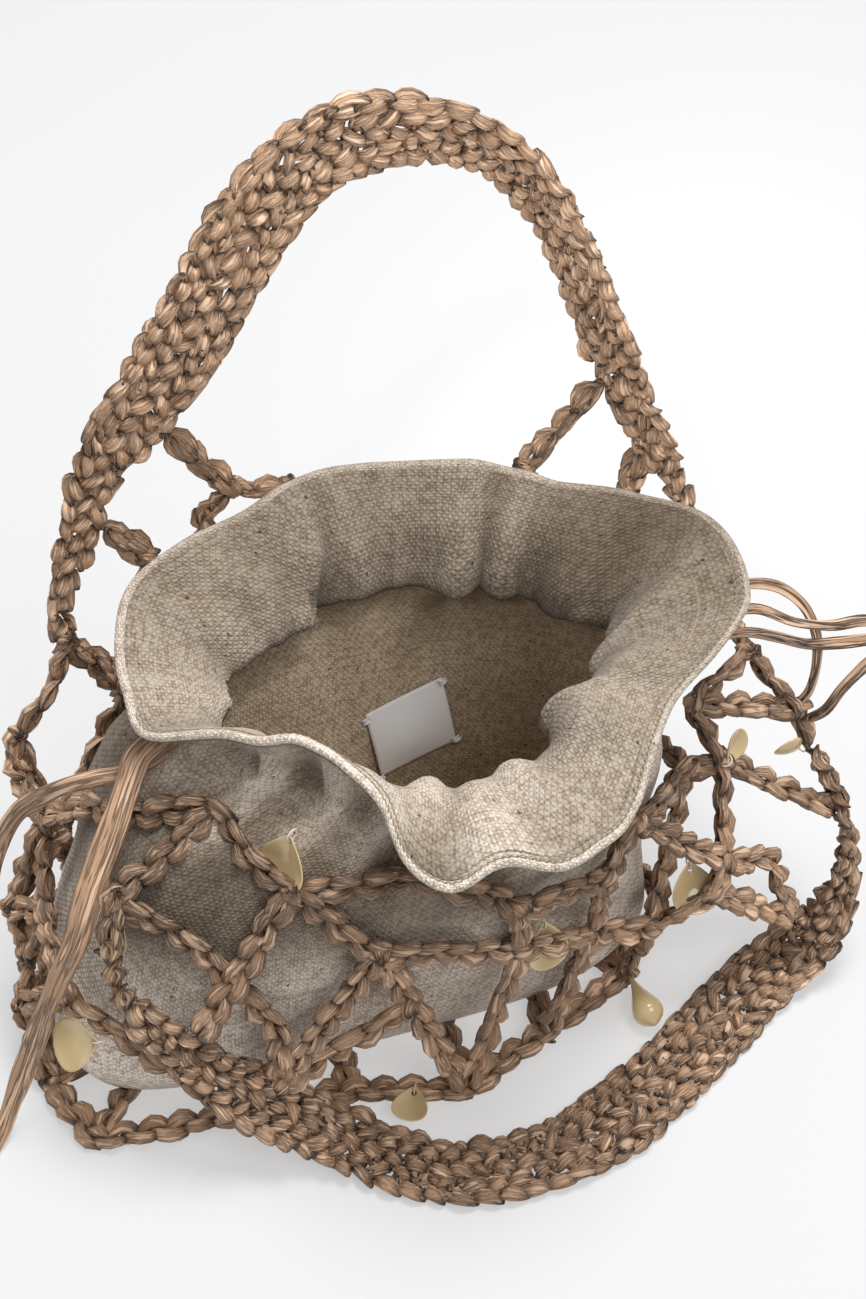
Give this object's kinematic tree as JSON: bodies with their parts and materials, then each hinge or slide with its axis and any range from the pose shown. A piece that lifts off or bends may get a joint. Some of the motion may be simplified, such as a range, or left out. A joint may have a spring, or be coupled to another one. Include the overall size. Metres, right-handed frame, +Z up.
{
  "type": "raffia net bag",
  "caption": "Linen drawstring pouch with a flared, gathered header, standing in a crocheted raffia net that carries broad handles, raffia ties and shell drops.",
  "frame": {"origin": "on the floor, on the flat underside of the net's foundation chain, under the pouch", "axes": "+X along the pouch's long side, +Y to its back, where one handle stands up, +Z up"},
  "size_m": [0.4924, 0.3437, 0.423],
  "materials": {
    "linen": "natural plain-weave linen",
    "raffia": "creased paper raffia, satin",
    "shell": "polished shell",
    "satin": "satin ribbon"
  },
  "bodies": {
    "root": {"linen_pouch": "linen", "raffia_net": "raffia", "handle_back": "raffia", "handle_front": "raffia", "drawstring_left_broad": "raffia", "drawstring_left_narrow": "raffia", "drawstring_right_arc": "raffia", "drawstring_right_loop": "raffia", "drawstring_right_end": "raffia", "shell_petal_1": "shell", "shell_petal_2": "shell", "shell_petal_3": "shell", "shell_petal_4": "shell", "shell_petal_5": "shell", "shell_petal_6": "shell", "shell_petal_7": "shell", "shell_petal_8": "shell", "shell_teardrop": "shell", "label": "satin"}
  },
  "joints": []
}
